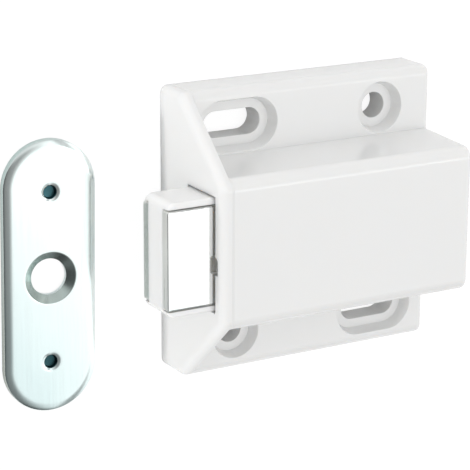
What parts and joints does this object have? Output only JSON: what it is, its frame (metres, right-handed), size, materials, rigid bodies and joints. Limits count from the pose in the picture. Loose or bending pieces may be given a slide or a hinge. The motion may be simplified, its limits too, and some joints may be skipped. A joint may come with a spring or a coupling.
{
  "type": "magnetic catch",
  "caption": "Screw-on magnetic touch catch for a cabinet door: a moulded housing with a spring-loaded magnet plunger that latches and springs out, and its steel strike plate.",
  "frame": {"origin": "centre of the housing's mounting face, on the back cover, flush with the housing's foot", "axes": "+Z out of the mounting face towards the top of the box, +X from the door to the rear, opposite to the way the plunger stands out, +Y across"},
  "size_m": [0.0676, 0.0453, 0.018],
  "materials": {
    "housing_plastic": "white moulded plastic with a fine satin texture",
    "plunger_plastic": "white low-friction plastic, lightly polished",
    "magnet_ferrite": "dark grey sintered ferrite, ground flat",
    "pole_steel": "bright plated steel",
    "spring_steel": "drawn spring wire",
    "strike_steel": "bright zinc-plated pressed steel"
  },
  "bodies": {
    "catch": {"housing": "housing_plastic", "back_cover": "housing_plastic", "return_spring": "spring_steel", "strike_plate": "strike_steel"},
    "plunger": {"plunger": "plunger_plastic", "magnet": "magnet_ferrite", "upper_pole_plate": "pole_steel", "lower_pole_plate": "pole_steel"},
    "follower": {"cam_follower": "spring_steel"}
  },
  "joints": [
    {"name": "plunger_slide", "type": "slide", "parent": "catch", "child": "plunger", "axis": [1, 0, 0], "range_m": [0, 0.0065], "stiffness_N_per_m": 250, "springref_m": -0.01, "deforming": ["return_spring"]},
    {"name": "follower_swing", "type": "hinge", "parent": "catch", "child": "follower", "pos_m": [0.01585, 0, 0.002], "axis": [0, 0, -1], "range_deg": [0, 22.21]}
  ]
}
